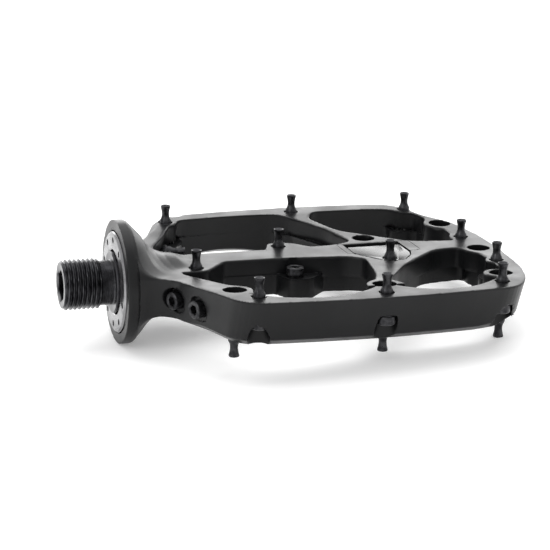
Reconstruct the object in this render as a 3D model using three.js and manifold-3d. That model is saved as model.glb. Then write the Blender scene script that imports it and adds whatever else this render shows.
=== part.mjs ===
// Flat pedal, left side, for a 9/16 in crank thread.
// Millimetres. X runs outboard along the spindle, Y across the tread, Z up.
// The platform looks the same after half a turn about the spindle, so every tread
// feature is written once, for the upper face, and turned half round for the lower one.
import * as THREE from 'three';
import Module from 'manifold-3d';
import { mergeVertices } from 'three/addons/utils/BufferGeometryUtils.js';

const wasm = await Module();
wasm.setup();

// ---- driving dimensions -------------------------------------------------------------
const GAP = 0.3;                  // clearance between neighbouring pieces
const SPINDLE_END_X = -15.6;      // crank end of the spindle; x = 0 is the flange face
const PLATFORM_END_X = 113;       // outboard edge of the platform
const RAIL_FACE_Z = 6.9;          // half thickness of the platform at its side rails
const CENTRE_FACE_Z = 5.3;        // half thickness along the spindle, so the tread is dished
const DISH_FLAT_Y = 15;           // half width of the flat middle of the dish
const DISH_EDGE_Y = 42;           // where the dish meets the rails
const LEDGE_Z = 0.7;              // each tread half reaches this far past the middle plane
const WALL_LEAN = 0.5;            // lean of the rail walls, in y per unit of z
const LEAN_START_Y = 12;          // the lean fades in between these two distances
const LEAN_FULL_Y = 30;

const FLANGE_R = 17.5;
const LOCK_RING_R = 14.3;
const LOCK_RING_BORE_R = 9.2;
const LOCK_RING_X = [-0.6, 2.2];
const LOCK_RING_HOLES = 10;
const LOCK_RING_HOLE_R = 0.9;
const LOCK_RING_HOLE_CIRCLE_R = 12.1;
const BEARING_X = [2.6, 6.6];
const BEARING_BORE_R = 7.5;       // 15 x 21 x 4 mm cartridge bearing
const BEARING_OUTER_R = 10.5;
const BEARING_BALLS = 12;
const BEARING_BALL_R = 0.8;
const THREAD_R = 14.29 / 2;       // 9/16 in
const NECK_R = 6.3;
const SHOULDER_R = 8.7;
const SHOULDER_X = [-1.3, 0.4];
const SHAFT_R = 3.5;
const SHAFT_BORE_R = 3.8;
const JOURNAL_R = 2.95;
const BUSH_X = [60.4, 68.6];
const BUSH_BORE_R = 3.25;
const BUSH_R = 4.1;
const NUT_FLATS = 7;
const WASHER_X = [69.5, 70.3];
const NUT_X = [70.7, 74.3];
const SPINDLE_TAIL_X = 76.2;
const STUD_R = 2.5;

const POCKET_X = [69.2, 86.4];    // nut pocket, open through both faces
const POCKET_Y = 5.8;
const COVER_Z = [4.3, 5.25];

const PIN_HEAD_R = 2.55;
const PIN_HEAD_H = 2.4;
const PIN_SHANK_R = 2;
const PIN_WAIST_R = 1.1;
const PIN_TIP_R = 1.45;
const PIN_LENGTH = 11.6;          // head seat to tip
const PIN_STAND = 5.2;            // how far a pin stands out of the tread
const PIN_BORE_R = PIN_SHANK_R + GAP;
const COUNTERBORE_R = 3.3;
const BOSS_R = 4.9;

// Tread pins of the upper face. A boss rings the head where the frame is narrower than it.
const PINS = [
  { x: 24, y: 38.3, boss: true },
  { x: 64.9, y: 42.3, boss: true },
  { x: 100.6, y: 38.4, boss: true },
  { x: 50.4, y: 8.2 },
  { x: 21, y: -9.6 },
  { x: 28.3, y: -46.7 },
  { x: 62.5, y: -50.7 },
  { x: 97.1, y: -47.5 },
  { x: 107, y: 6.8, boss: true },
  { x: 106.2, y: -22.1, boss: true },
  { x: 77.8, y: -11.5 },
];

// Slanted arm: the straight outer wall between flange and side rail, and its spare pins.
const ARM_START = new THREE.Vector2(12, 21.8);
const ARM_END = new THREE.Vector2(20.9, 44.8);
const SPARE_ALONG_ARM = [0.4, 10.6];
const SPARE_HEAD_PROUD = 1.8;
const SPARE_RECESS_R = 3.6;

// Outline of half the platform at the middle plane: x, y, and how far before and after
// the corner its curve begins.
const HALF_OUTLINE = [
  [3.4, 15, 0], [7.4, 18.6, 2], [ARM_START.x, ARM_START.y, 2], [ARM_END.x, ARM_END.y, 1],
  [24.5, 50, 5], [61, 53.7, 26], [100.2, 50.4, 5], [105.8, 41, 5], [110.2, 25.5, 7],
  [PLATFORM_END_X, 10, 8],
];

// Windows of the upper half, as x, y and corner ease.
const WINDOW_INBOARD_FAR = [
  [20, 5.2, 2], [13.6, 6.4, 2], [14.4, 15.4, 2], [26.4, 42.8, 5], [46, 44.4, 8],
  [60.2, 43.6, 5], [69.8, 25.5, 4], [73.2, 9.2, 2.5], [67.4, 6.4, 2], [60, 5.6, 1],
  [54.4, 11.8, 2], [48.2, 12, 1.5], [45.6, 5.2, 1],
];
const WINDOW_INBOARD_NEAR = [
  [30.4, -4.8, 1.5], [23.2, -13.4, 1.5], [16, -13.4, 1], [15.8, -15.4, 1], [26.8, -33, 3],
  [28, -42.6, 3.5], [46, -44.4, 8], [60.2, -43.6, 5], [67.8, -25, 4], [71, -10.8, 2.5],
  [66, -7.2, 2], [46, -4.8, 4],
];
const WINDOW_OUTBOARD_FAR = [
  [71, 44.2, 3], [68, 37.6, 2.5], [73.4, 21.8, 4], [90.6, 5, 4], [104, 3, 3],
  [105.8, 14.5, 5], [102.4, 37.5, 6], [92.5, 43.6, 5],
];
const WINDOW_OUTBOARD_NEAR = [
  [71, -44.2, 3], [67.6, -34.6, 2.5], [77.6, -20.8, 4], [94, -5.2, 4], [103, -5.2, 3],
  [105.4, -16, 4], [102, -37.5, 6], [92.5, -43.6, 5],
];
const COVER_OUTLINE = [
  [69.6, 2.4, 0.6], [69.6, -5.4, 2.4], [75.6, -14.8, 2.4], [80.6, -15, 2.4], [85.8, -8, 3],
  [85.8, 2.4, 0.6],
];
const COVER_MIDDLE = new THREE.Vector2(77.8, -5.5);

// ---- small helpers ------------------------------------------------------------------
function solid(geometry) {
  const bare = geometry.clone();
  bare.deleteAttribute('normal');
  bare.deleteAttribute('uv');
  const merged = mergeVertices(bare, 1e-4);
  return new wasm.Manifold(new wasm.Mesh({
    numProp: 3,
    vertProperties: Float32Array.from(merged.attributes.position.array),
    triVerts: Uint32Array.from(merged.index.array),
  }));
}

function geometryOf(manifold) {
  const mesh = manifold.getMesh();
  const geometry = new THREE.BufferGeometry();
  geometry.setAttribute('position', new THREE.BufferAttribute(Float32Array.from(mesh.vertProperties), 3));
  geometry.setIndex(new THREE.BufferAttribute(Uint32Array.from(mesh.triVerts), 1));
  geometry.computeVertexNormals();
  return geometry;
}

const union = (list) => list.reduce((whole, piece) => whole.add(piece));
const cut = (whole, list) => list.reduce((rest, piece) => rest.subtract(piece), whole);
const halfTurn = (geometry) => geometry.clone().rotateX(Math.PI);

// A closed outline from corners given as x, y and ease.
function outline(corners, curveSteps = 3) {
  const path = new THREE.Path();
  corners.forEach(([x, y, ease], i) => {
    const here = new THREE.Vector2(x, y);
    const [px, py] = corners[(i + corners.length - 1) % corners.length];
    const [nx, ny] = corners[(i + 1) % corners.length];
    const before = new THREE.Vector2(px, py).sub(here).setLength(ease).add(here);
    const after = new THREE.Vector2(nx, ny).sub(here).setLength(ease).add(here);
    if (i === 0) path.moveTo(before.x, before.y);
    else path.lineTo(before.x, before.y);
    if (ease > 0) path.quadraticCurveTo(x, y, after.x, after.y);
  });
  const points = path.getPoints(curveSteps);
  return points.filter((p, i) => p.distanceTo(points[(i + 1) % points.length]) > 1e-3);
}

// How far the leaning walls move a point of the middle plane at height z.
function leaned(point, z) {
  const fade = THREE.MathUtils.smoothstep(Math.abs(point.y), LEAN_START_Y, LEAN_FULL_Y);
  return new THREE.Vector2(point.x, point.y - WALL_LEAN * z * fade);
}

// A plate between two heights whose walls lean as the rails do.
function leaningPlate(contour, holes, low, high) {
  const wind = (points, clockwise) =>
    THREE.ShapeUtils.isClockWise(points) === clockwise ? points : points.slice().reverse();
  const loops = [wind(contour, false), ...holes.map((hole) => wind(hole, true))];
  const positions = [];
  const triangles = [];
  for (const z of [low, high]) {
    const moved = loops.map((loop) => loop.map((point) => leaned(point, z)));
    const first = positions.length / 3;
    moved.flat().forEach((point) => positions.push(point.x, point.y, z));
    for (const [a, b, c] of THREE.ShapeUtils.triangulateShape(moved[0], moved.slice(1))) {
      if (z === high) triangles.push(first + a, first + b, first + c);
      else triangles.push(first + a, first + c, first + b);
    }
  }
  const count = positions.length / 6;
  let start = 0;
  for (const loop of loops) {
    loop.forEach((_, i) => {
      const a = start + i;
      const b = start + (i + 1) % loop.length;
      triangles.push(a, b, b + count, a, b + count, a + count);
    });
    start += loop.length;
  }
  const geometry = new THREE.BufferGeometry();
  geometry.setAttribute('position', new THREE.Float32BufferAttribute(positions, 3));
  geometry.setIndex(triangles);
  return geometry;
}

// A straight plate from an outline, between two heights.
function plate(points, low, high) {
  const geometry = new THREE.ExtrudeGeometry(new THREE.Shape(points), {
    depth: high - low, bevelEnabled: false,
  });
  return geometry.translate(0, 0, low);
}

// A turned shape about the spindle axis, from [x, radius] points.
function turned(profile, segments = 24) {
  const points = profile.map(([x, r]) => new THREE.Vector2(r, x));
  return new THREE.LatheGeometry(points, segments).rotateZ(-Math.PI / 2);
}

function turnedRing(x0, x1, inner, outer, segments = 24) {
  return turned([[x0, inner], [x0, outer], [x1, outer], [x1, inner], [x0, inner]], segments);
}

function rod(x0, x1, radius, segments = 16) {
  return turned([[x0, 0], [x0, radius], [x1, radius], [x1, 0]], segments);
}

// An upright cylinder.
function post(x, y, low, high, radius, segments = 12) {
  return new THREE.CylinderGeometry(radius, radius, high - low, segments)
    .rotateX(Math.PI / 2).translate(x, y, (low + high) / 2);
}

// ---- pin places ---------------------------------------------------------------------
// Height of the dished tread at a distance from the spindle axis.
function faceZ(y) {
  const rise = (Math.abs(y) - DISH_FLAT_Y) / (DISH_EDGE_Y - DISH_FLAT_Y);
  return THREE.MathUtils.lerp(CENTRE_FACE_Z, RAIL_FACE_Z, THREE.MathUtils.clamp(rise, 0, 1));
}

const tipZ = (pin) => faceZ(pin.y) + PIN_STAND;
const seatZ = (pin) => tipZ(pin) - PIN_LENGTH;

function spareFrame(side, along) {
  const arm = ARM_END.clone().sub(ARM_START).normalize();
  const foot = ARM_START.clone().addScaledVector(arm, along);
  const inward = new THREE.Vector3(arm.y, -arm.x * side, 0);
  return { foot: new THREE.Vector3(foot.x, foot.y * side, 0), inward };
}

function spareHole(side, along) {
  const { foot, inward } = spareFrame(side, along);
  const turn = new THREE.Quaternion().setFromUnitVectors(new THREE.Vector3(1, 0, 0), inward);
  const bore = rod(-4, 12, PIN_BORE_R, 12);
  const recess = rod(-4, PIN_HEAD_H - SPARE_HEAD_PROUD + GAP, SPARE_RECESS_R, 14);
  return [bore, recess].map((geometry) =>
    solid(geometry.applyQuaternion(turn).translate(foot.x, foot.y, foot.z)));
}

// ---- pedal body ---------------------------------------------------------------------
function treadHalf() {
  const near = HALF_OUTLINE.slice().reverse().map(([x, y, ease]) => [x, -y, ease]);
  const contour = outline([...HALF_OUTLINE, ...near]);
  const windows = [
    WINDOW_INBOARD_FAR, WINDOW_INBOARD_NEAR, WINDOW_OUTBOARD_FAR, WINDOW_OUTBOARD_NEAR,
  ].map((corners) => outline(corners));
  return leaningPlate(contour, windows, -LEDGE_Z, RAIL_FACE_Z);
}

// Bosses round the heads of the lower face's pins, seen on the upper face.
function headBosses() {
  return PINS.filter((pin) => pin.boss)
    .map((pin) => post(pin.x, -pin.y, -LEDGE_Z, RAIL_FACE_Z, BOSS_R, 18));
}

function dishCut() {
  const top = RAIL_FACE_Z + 2;
  const section = [
    [-DISH_EDGE_Y, top], [-DISH_EDGE_Y, RAIL_FACE_Z], [-DISH_FLAT_Y, CENTRE_FACE_Z],
    [DISH_FLAT_Y, CENTRE_FACE_Z], [DISH_EDGE_Y, RAIL_FACE_Z], [DISH_EDGE_Y, top],
  ].map(([y, z]) => new THREE.Vector2(y, z));
  return plate(section, 0, PLATFORM_END_X)
    .rotateY(Math.PI / 2).rotateX(Math.PI / 2);
}

// Holes of one upper-face pin: its bore, and the counterbore for its head from below.
function pinCuts(pin) {
  const bore = post(pin.x, pin.y, -RAIL_FACE_Z - 1, RAIL_FACE_Z + 1, PIN_BORE_R);
  const counterbore = post(pin.x, pin.y, -RAIL_FACE_Z - 1, seatZ(pin) + GAP, COUNTERBORE_R, 16);
  return [bore, counterbore];
}

function bearingHousing() {
  return turned([
    [0, 0], [0, FLANGE_R - 0.5], [0.5, FLANGE_R], [2.6, FLANGE_R], [3.4, FLANGE_R - 0.5],
    [5.2, 15.2], [7.2, 12.9], [9, 10.2], [10.8, 8], [13, 6.4], [16, 5.4], [16, 0],
  ], 32);
}

function spindleBore() {
  const bearingSeat = BEARING_OUTER_R + GAP;
  return turned([
    [-1, 0], [-1, LOCK_RING_R + GAP], [LOCK_RING_X[1] + GAP, LOCK_RING_R + GAP],
    [LOCK_RING_X[1] + GAP, bearingSeat], [BEARING_X[1] + GAP, bearingSeat],
    [BEARING_X[1] + GAP, 8.4], [10.4, SHAFT_BORE_R], [BUSH_X[0] - GAP, SHAFT_BORE_R],
    [BUSH_X[0] - GAP, BUSH_R + GAP], [POCKET_X[0] + 1, BUSH_R + GAP], [POCKET_X[0] + 1, 0],
  ]);
}

function nutPocket() {
  const height = 2 * (RAIL_FACE_Z + 1);
  return new THREE.BoxGeometry(POCKET_X[1] - POCKET_X[0], 2 * POCKET_Y, height)
    .translate((POCKET_X[0] + POCKET_X[1]) / 2, 0, 0);
}

function coverRecess() {
  const grown = outline(COVER_OUTLINE).map((point) => {
    const out = point.clone().sub(COVER_MIDDLE);
    return COVER_MIDDLE.clone().add(out.setLength(out.length() + 1.4 * GAP));
  });
  return plate(grown, COVER_Z[0] - GAP, RAIL_FACE_Z + 1);
}

function pedalBody() {
  const bothFaces = (geometries) => [...geometries, ...geometries.map(halfTurn)].map(solid);
  const shell = union(bothFaces([treadHalf(), ...headBosses()]));
  const dished = cut(shell, bothFaces([dishCut()]));
  const whole = dished.add(solid(bearingHousing()));
  const cuts = bothFaces([coverRecess(), ...PINS.flatMap(pinCuts)]);
  const spares = [1, -1].flatMap((side) =>
    SPARE_ALONG_ARM.flatMap((along) => spareHole(side, along)));
  return cut(whole, [solid(spindleBore()), solid(nutPocket()), ...cuts, ...spares]);
}

// ---- spindle and its fittings ---------------------------------------------------------
function spindle() {
  const shaft = turned([
    [SPINDLE_END_X, 0], [SPINDLE_END_X, THREAD_R - 0.8], [SPINDLE_END_X + 0.8, THREAD_R],
    [-4.9, THREAD_R], [-4.4, NECK_R], [SHOULDER_X[0], NECK_R], [SHOULDER_X[0], SHOULDER_R],
    [SHOULDER_X[1], SHOULDER_R], [SHOULDER_X[1], BEARING_BORE_R - GAP],
    [BEARING_X[1], BEARING_BORE_R - GAP], [BEARING_X[1] + 0.4, 6.6], [9.4, SHAFT_R],
    [BUSH_X[0] - 0.6, SHAFT_R], [BUSH_X[0] - 0.3, JOURNAL_R], [BUSH_X[1] + 0.4, JOURNAL_R],
    [BUSH_X[1] + 0.5, STUD_R], [SPINDLE_TAIL_X - 0.4, STUD_R],
    [SPINDLE_TAIL_X, STUD_R - 0.4], [SPINDLE_TAIL_X, 0],
  ]);
  const hexSocket = turned([
    [SPINDLE_END_X - 1, 0], [SPINDLE_END_X - 1, 4.62], [SPINDLE_END_X + 9, 4.62],
    [SPINDLE_END_X + 10.5, 0],
  ], 6);
  return solid(shaft).subtract(solid(hexSocket));
}

function lockRing() {
  const ring = turned([
    [LOCK_RING_X[0], LOCK_RING_BORE_R], [LOCK_RING_X[0], LOCK_RING_R - 0.5],
    [LOCK_RING_X[0] + 0.5, LOCK_RING_R], [LOCK_RING_X[1], LOCK_RING_R],
    [LOCK_RING_X[1], LOCK_RING_BORE_R], [LOCK_RING_X[0], LOCK_RING_BORE_R],
  ], 30);
  const holes = Array.from({ length: LOCK_RING_HOLES }, (_, i) => {
    const angle = (i + 0.5) / LOCK_RING_HOLES * 2 * Math.PI;
    return solid(rod(LOCK_RING_X[0] - 1, LOCK_RING_X[0] + 1.6, LOCK_RING_HOLE_R, 6).translate(
      0, LOCK_RING_HOLE_CIRCLE_R * Math.cos(angle), LOCK_RING_HOLE_CIRCLE_R * Math.sin(angle)));
  });
  return cut(solid(ring), holes);
}

function bearingCage() {
  const pitchR = (BEARING_BORE_R + BEARING_OUTER_R) / 2;
  const middle = (BEARING_X[0] + BEARING_X[1]) / 2;
  const cage = solid(turnedRing(middle - 0.35, middle + 0.35, pitchR - 0.3, pitchR + 0.3, 2 * BEARING_BALLS));
  const balls = Array.from({ length: BEARING_BALLS }, (_, i) => {
    const angle = i / BEARING_BALLS * 2 * Math.PI;
    return solid(new THREE.IcosahedronGeometry(BEARING_BALL_R, 0)
      .translate(middle, pitchR * Math.cos(angle), pitchR * Math.sin(angle)));
  });
  return union([cage, ...balls]);
}

// Both races are grooved over the width of the balls, and hold a shield on each side.
const GROOVE_HALF = BEARING_BALL_R + GAP / 2;
const BEARING_MIDDLE = (BEARING_X[0] + BEARING_X[1]) / 2;
const GROOVE_X = [BEARING_MIDDLE - GROOVE_HALF, BEARING_MIDDLE + GROOVE_HALF];

function innerRace() {
  const land = BEARING_BORE_R + 0.85;
  const groove = BEARING_BORE_R + 0.4;
  return turned([
    [BEARING_X[0], BEARING_BORE_R], [BEARING_X[0], land], [GROOVE_X[0], land],
    [GROOVE_X[0], groove], [GROOVE_X[1], groove], [GROOVE_X[1], land], [BEARING_X[1], land],
    [BEARING_X[1], BEARING_BORE_R], [BEARING_X[0], BEARING_BORE_R],
  ]);
}

function outerRace() {
  const land = BEARING_OUTER_R - 0.85;
  const groove = BEARING_OUTER_R - 0.4;
  return turned([
    [BEARING_X[0], land], [BEARING_X[0], BEARING_OUTER_R], [BEARING_X[1], BEARING_OUTER_R],
    [BEARING_X[1], land], [GROOVE_X[1], land], [GROOVE_X[1], groove], [GROOVE_X[0], groove],
    [GROOVE_X[0], land], [BEARING_X[0], land],
  ]);
}

function bearingShield(x) {
  return turnedRing(x, x + 0.3, BEARING_BORE_R + 1.15, BEARING_OUTER_R - 1.15);
}

function hexNut() {
  const hex = turned([[NUT_X[0], 0], [NUT_X[0], NUT_FLATS / Math.sqrt(3)],
    [NUT_X[1], NUT_FLATS / Math.sqrt(3)], [NUT_X[1], 0]], 6).rotateX(Math.PI / 6);
  return solid(hex).subtract(solid(rod(NUT_X[0] - 1, NUT_X[1] + 1, STUD_R + GAP)));
}

function hatchCover() {
  const pin = PINS[PINS.length - 1];
  const body = solid(plate(outline(COVER_OUTLINE), COVER_Z[0], COVER_Z[1]));
  return body.subtract(solid(post(pin.x, pin.y, 0, 9, PIN_BORE_R)));
}

// A tread pin standing on its tip's axis: tip at z = 0, head at the bottom.
function treadPin() {
  const seat = -PIN_LENGTH;
  const points = [
    [0, 0], [PIN_TIP_R, 0], [PIN_WAIST_R, -2.5], [PIN_SHANK_R, -4.9], [PIN_SHANK_R, seat],
    [PIN_HEAD_R, seat], [PIN_HEAD_R, seat - PIN_HEAD_H], [1.3, seat - PIN_HEAD_H],
    [1.3, seat - PIN_HEAD_H + 1.5], [0, seat - PIN_HEAD_H + 1.5],
  ];
  return new THREE.LatheGeometry(points.reverse().map(([r, z]) => new THREE.Vector2(r, z)), 10)
    .rotateX(Math.PI / 2);
}

// ---- assembly -------------------------------------------------------------------------
const anodised = { color: 0x1c1d1f, roughness: 0.45, metalness: 0.6 };
const blackSteel = { color: 0x151517, roughness: 0.4, metalness: 0.8 };
const darkSteel = { color: 0x34363a, roughness: 0.3, metalness: 1 };
const brightSteel = { color: 0xb9bcc0, roughness: 0.28, metalness: 1 };
const rubber = { color: 0x101011, roughness: 0.85, metalness: 0 };
const bronze = { color: 0x9a6b35, roughness: 0.4, metalness: 1 };

const pedal = new THREE.Group();
pedal.position.set(-(SPINDLE_END_X + PLATFORM_END_X) / 2, 0, FLANGE_R);

function add(name, shape, look) {
  const geometry = shape instanceof THREE.BufferGeometry ? shape : geometryOf(shape);
  const mesh = new THREE.Mesh(geometry, new THREE.MeshStandardMaterial(look));
  mesh.name = name;
  pedal.add(mesh);
  return mesh;
}

add('pedal_body', pedalBody(), anodised);
add('spindle', spindle(), darkSteel);
add('lock_ring', lockRing(), brightSteel);
add('spindle_seal', turnedRing(0.8, 2.1, 7.6, LOCK_RING_BORE_R - GAP), rubber);
add('inboard_bearing_outer_race', outerRace(), brightSteel);
add('inboard_bearing_inner_race', innerRace(), brightSteel);
add('inboard_bearing_cage', bearingCage(), bronze);
add('inboard_bearing_shield_crank', bearingShield(BEARING_X[0] + 0.1), rubber);
add('inboard_bearing_shield_body', bearingShield(BEARING_X[1] - 0.4), rubber);
add('outboard_bush', turnedRing(...BUSH_X, BUSH_BORE_R, BUSH_R), bronze);
add('thrust_washer', turnedRing(...WASHER_X, STUD_R + GAP, 3.9), brightSteel);
add('spindle_nut', hexNut(), brightSteel);

const cover = geometryOf(hatchCover());
add('hatch_cover_top', cover, anodised);
add('hatch_cover_bottom', cover, anodised).rotation.x = Math.PI;

const pinShape = treadPin();
PINS.forEach((pin, i) => {
  const number = String(i + 1).padStart(2, '0');
  add(`pin_top_${number}`, pinShape, blackSteel).position.set(pin.x, pin.y, tipZ(pin));
  const lower = add(`pin_bottom_${number}`, pinShape, blackSteel);
  lower.position.set(pin.x, -pin.y, -tipZ(pin));
  lower.rotation.x = Math.PI;
});

for (const [label, side] of [['far', 1], ['near', -1]]) {
  SPARE_ALONG_ARM.forEach((along, i) => {
    const { foot, inward } = spareFrame(side, along);
    const spare = add(`spare_pin_${label}_${i + 1}`, pinShape, blackSteel);
    const reach = PIN_LENGTH + PIN_HEAD_H - SPARE_HEAD_PROUD;
    spare.position.copy(foot).addScaledVector(inward, reach);
    spare.quaternion.setFromUnitVectors(new THREE.Vector3(0, 0, 1), inward);
  });
}

export default pedal;
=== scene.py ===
"""Looks of a left flat pedal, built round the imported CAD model.

The CAD bodies fix every place. The forged platform, the pins, the spindle, the lock ring
and the hatch covers are replaced by finer meshes of the same size; the other CAD nodes stay
and only get their materials. Shapes are written in millimetres from the flange face: x runs
outboard along the spindle, y across the tread and z up from the spindle axis.
"""

import math

import bmesh
import bpy
import numpy as np
from mathutils import Matrix, Vector


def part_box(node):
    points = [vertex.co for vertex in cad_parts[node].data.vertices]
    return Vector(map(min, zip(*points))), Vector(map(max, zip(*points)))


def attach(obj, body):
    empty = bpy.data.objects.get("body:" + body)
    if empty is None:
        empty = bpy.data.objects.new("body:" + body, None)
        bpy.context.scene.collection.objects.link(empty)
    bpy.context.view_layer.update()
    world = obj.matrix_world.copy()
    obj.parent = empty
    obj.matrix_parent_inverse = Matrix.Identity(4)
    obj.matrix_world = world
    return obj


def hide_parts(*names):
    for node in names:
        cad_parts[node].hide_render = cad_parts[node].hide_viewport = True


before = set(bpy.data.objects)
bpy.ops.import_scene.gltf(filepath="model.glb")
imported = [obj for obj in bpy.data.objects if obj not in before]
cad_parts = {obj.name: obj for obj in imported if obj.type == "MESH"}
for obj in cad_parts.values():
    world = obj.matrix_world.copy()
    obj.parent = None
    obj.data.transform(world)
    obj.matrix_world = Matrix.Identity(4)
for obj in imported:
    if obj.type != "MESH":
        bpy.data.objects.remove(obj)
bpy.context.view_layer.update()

# ---- places taken from the frame ------------------------------------------------------
MM = 0.001
BODY_LOW, BODY_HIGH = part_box("pedal_body")
AXIS_Z = (BODY_LOW.z + BODY_HIGH.z) / 2
FLANGE_R = (BODY_HIGH.z - BODY_LOW.z) / 2 / MM
LENGTH = (BODY_HIGH.x - BODY_LOW.x) / MM
CORNER = Vector((BODY_LOW.x, 0, AXIS_Z))


def to_row(x, y, z):
    """A point given in millimetres from the flange face, as metres in the row frame."""
    return CORNER + Vector((x, y, z)) * MM


def in_part(point):
    """A row frame point as millimetres from the flange face."""
    return (point - CORNER) / MM


# ---- platform dimensions, in millimetres ------------------------------------------------
RAIL_FACE_Z = 6.9
CENTRE_FACE_Z = 5.3
DISH_FLAT_Y = 15.0
DISH_EDGE_Y = 42.0
DISH_BLEND_Y = 6.0    # how far the rounded dish begins before its flat sides, and ends after
LEDGE_Z = 0.7
WALL_LEAN = 0.5
LEAN_START_Y, LEAN_FULL_Y = 12.0, 30.0
EDGE_R = 0.5
HOLE_EDGE_R = 0.15
SCOOP_EDGE_R = 0.25
BOSS_R = 4.9
SHANK_BOSS_R = 3.1
BOSS_FILLET = 2.0
RAIL_CHAMFER = 1.8
CORNER_CHAMFER = 4.0
CHAMFER_Y = (20, 34)   # the far rail's chamfer fades in between these
CHAMFER_X = (88, 104)  # and grows to the corner's chamfer between these
PIN_BORE_R = 2.15
COUNTERBORE_R = 3.3
RAIL_COUNTERBORE_R = 3.1
RAIL_PIN_Y = -45.0
PIN_STAND = 5.2
PIN_LENGTH = 11.6
PIN_HEAD_H = 2.4
HOUSING_RIM_X = 3.0   # the housing's round rim is kept clean as far as this
HOUSING_FILLET = 6.0
SPARE_ALONG_ARM = (0.4, 10.6)
SPARE_HEAD_PROUD = 1.8
SPARE_BORE_R = 2.2
SPARE_BORE_DEPTH = 12.0
SPARE_RECESS_R = 3.6
SPARE_RECESS_DEPTH = 0.9
SPARE_CUT_OUT = 4.0   # the spare pins' cuts start this far outside the arm
POCKET_X = (69.2, 86.4)
POCKET_Y = 5.8
COVER_LOW_Z = 4.3

ARM_START = (12.0, 21.8)
ARM_END = (20.9, 44.8)
HALF_OUTLINE = [
    (3.4, 15, 0), (7.4, 18.6, 2), (*ARM_START, 2), (*ARM_END, 1), (24.5, 50, 5),
    (61, 53.7, 26), (100.2, 50.4, 5), (105.8, 41, 5), (110.2, 25.5, 7), (LENGTH, 10, 8),
]
WINDOWS = [
    [(20, 5.2, 2), (13.6, 6.4, 2), (14.4, 15.4, 2), (26.4, 42.8, 5), (46, 44.4, 8),
     (60.2, 43.6, 5), (69.8, 25.5, 4), (73.2, 9.2, 2.5), (67.4, 6.4, 2), (60, 5.6, 1),
     (54.4, 11.8, 2), (48.2, 12, 1.5), (45.6, 5.2, 1)],
    [(30.4, -4.8, 1.5), (23.2, -13.4, 1.5), (16, -13.4, 1), (15.8, -15.4, 1), (26.8, -33, 3),
     (28, -42.6, 3.5), (46, -44.4, 8), (60.2, -43.6, 5), (67.8, -25, 4), (71, -10.8, 2.5),
     (66, -7.2, 2), (46, -4.8, 4)],
    [(71, 44.2, 3), (68, 37.6, 2.5), (73.4, 21.8, 4), (90.6, 5, 4), (104, 3, 3),
     (105.8, 14.5, 5), (102.4, 37.5, 6), (92.5, 43.6, 5)],
    [(71, -44.2, 3), (67.6, -34.6, 2.5), (77.6, -20.8, 4), (94, -5.2, 4), (103, -5.2, 3),
     (105.4, -16, 4), (102, -37.5, 6), (92.5, -43.6, 5)],
]
COVER_OUTLINE = [
    (69.6, 2.4, 0.6), (69.6, -5.4, 2.4), (75.6, -14.8, 2.4), (80.6, -15, 2.4), (85.8, -8, 3),
    (85.8, 2.4, 0.6),
]
COVER_GAP = 0.3
# Shallow scoops in the near rail's inner edge: middle x, half length along the rail.
SCOOPS = [(45.0, 14.0), (82.0, 12.0)]
SCOOP_EDGE_Y = -51.1
SCOOP_DEPTH_Y = 4.2
SCOOP_END_Y = -43.5
SCOOP_SLOPE = 2.4     # how far a scoop's edge moves in for each unit of depth

# Groove along the foot of the far arm's ridge: its ends and half widths.
GROOVE_START, GROOVE_END = (16.4, 18.4), (22.4, 32.4)
GROOVE_HALF_WIDTHS = (1.1, 0.5)
GROOVE_Z = (-2.6, 1.4)

# The turned shapes about the spindle axis, as distance from the flange face and radius.
PROFILE_HOUSING = [
    (0, 0), (0, 17.5), (2.6, 17.5), (3.5, 17.1), (5.2, 15.3), (7.2, 13.1), (8.5, 10.9),
    (10.2, 8.6), (13, 6.4), (16, 5.4), (18, 0),
]
PROFILE_BORE = [
    (-1, 0), (-1, 14.6), (2.5, 14.6), (2.5, 10.8), (6.9, 10.8), (6.9, 8.4), (10.4, 3.8),
    (60.1, 3.8), (60.1, 4.4), (70.2, 4.4), (70.2, 0),
]

# The upper face's pins, and those whose heads a boss rings.
PIN_NAMES = [f"pin_top_{i + 1:02d}" for i in range(11)]
BOSSED = {"pin_top_01", "pin_top_02", "pin_top_03", "pin_top_09", "pin_top_10"}

BODY_STEP = 0.6       # cell of the grid that the platform's surface is found on
PLAN_STEP = 0.2       # cell of the tables of plan distances
BODY_HALF_Y = 56.0    # half width of that grid
HOUSING_END_X = 26.0  # beyond this the platform is no thicker than its rails
RAIL_MARGIN_Z = 1.5
GRID_SHIFT = 0.013    # keeps the grid's planes off the flat ends


# ---- distances ---------------------------------------------------------------------------
def outline(corners, steps=7):
    """Points of a closed outline given as corners x, y and ease; the ease is the length
    before and after a corner where its curve begins."""
    points = []
    for i, (x, y, ease) in enumerate(corners):
        here = np.array([x, y], float)
        if ease == 0:
            points.append(here)
            continue
        ends = []
        for other in (corners[i - 1], corners[(i + 1) % len(corners)]):
            way = np.array(other[:2], float) - here
            ends.append(here + way / np.hypot(*way) * ease)
        for t in np.linspace(0, 1, steps):
            points.append((1 - t) ** 2 * ends[0] + 2 * t * (1 - t) * here + t ** 2 * ends[1])
    return np.array(points)


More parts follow.
